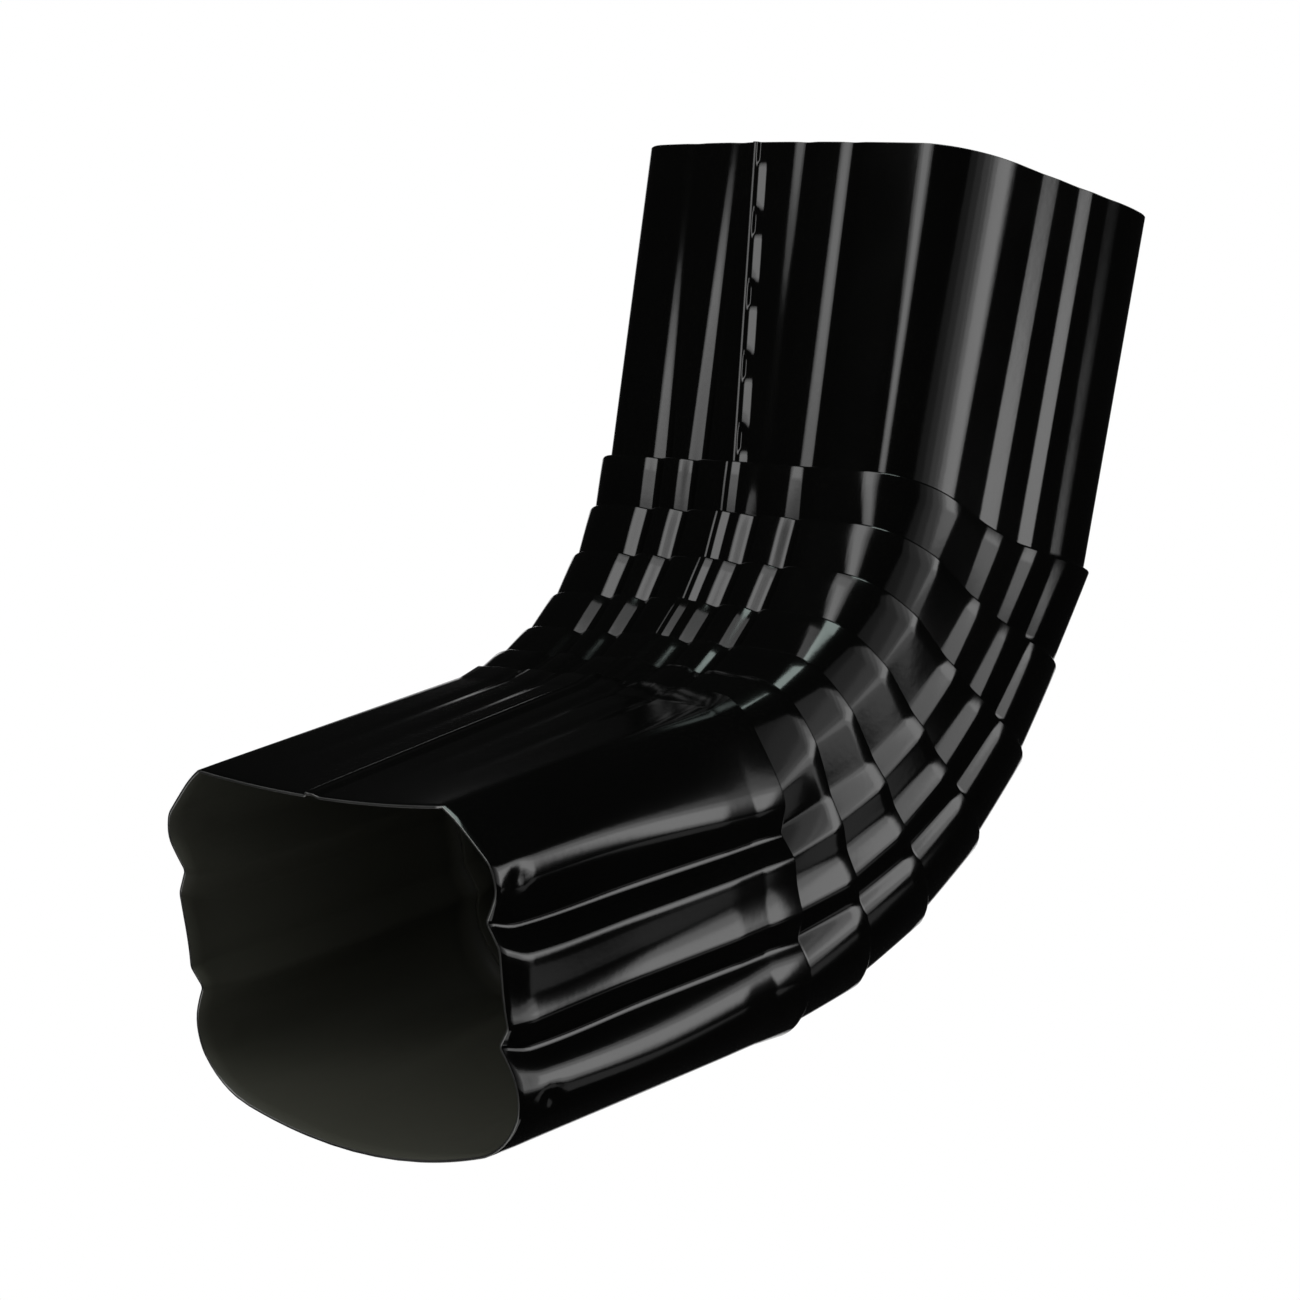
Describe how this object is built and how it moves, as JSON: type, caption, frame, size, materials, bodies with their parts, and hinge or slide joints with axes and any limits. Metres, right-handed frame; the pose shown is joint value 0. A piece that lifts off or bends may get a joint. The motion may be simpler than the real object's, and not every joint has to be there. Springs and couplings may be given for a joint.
{
  "type": "downspout elbow",
  "caption": "Corrugated sheet-metal downspout elbow: a fluted rectangular tube turned through crimped pleats between an upright inlet and an outlet that leads away.",
  "frame": {"origin": "middle of the inlet opening, in the plane of its rim", "axes": "+Z out of the inlet along the upright inlet leg, +X towards the throat, the side the outlet leads to, Y across the wide faces"},
  "size_m": [0.1529, 0.083, 0.19],
  "materials": {
    "painted_sheet": "gloss black coil coating on aluminium sheet"
  },
  "bodies": {
    "root": {"elbow": "painted_sheet"}
  },
  "joints": []
}
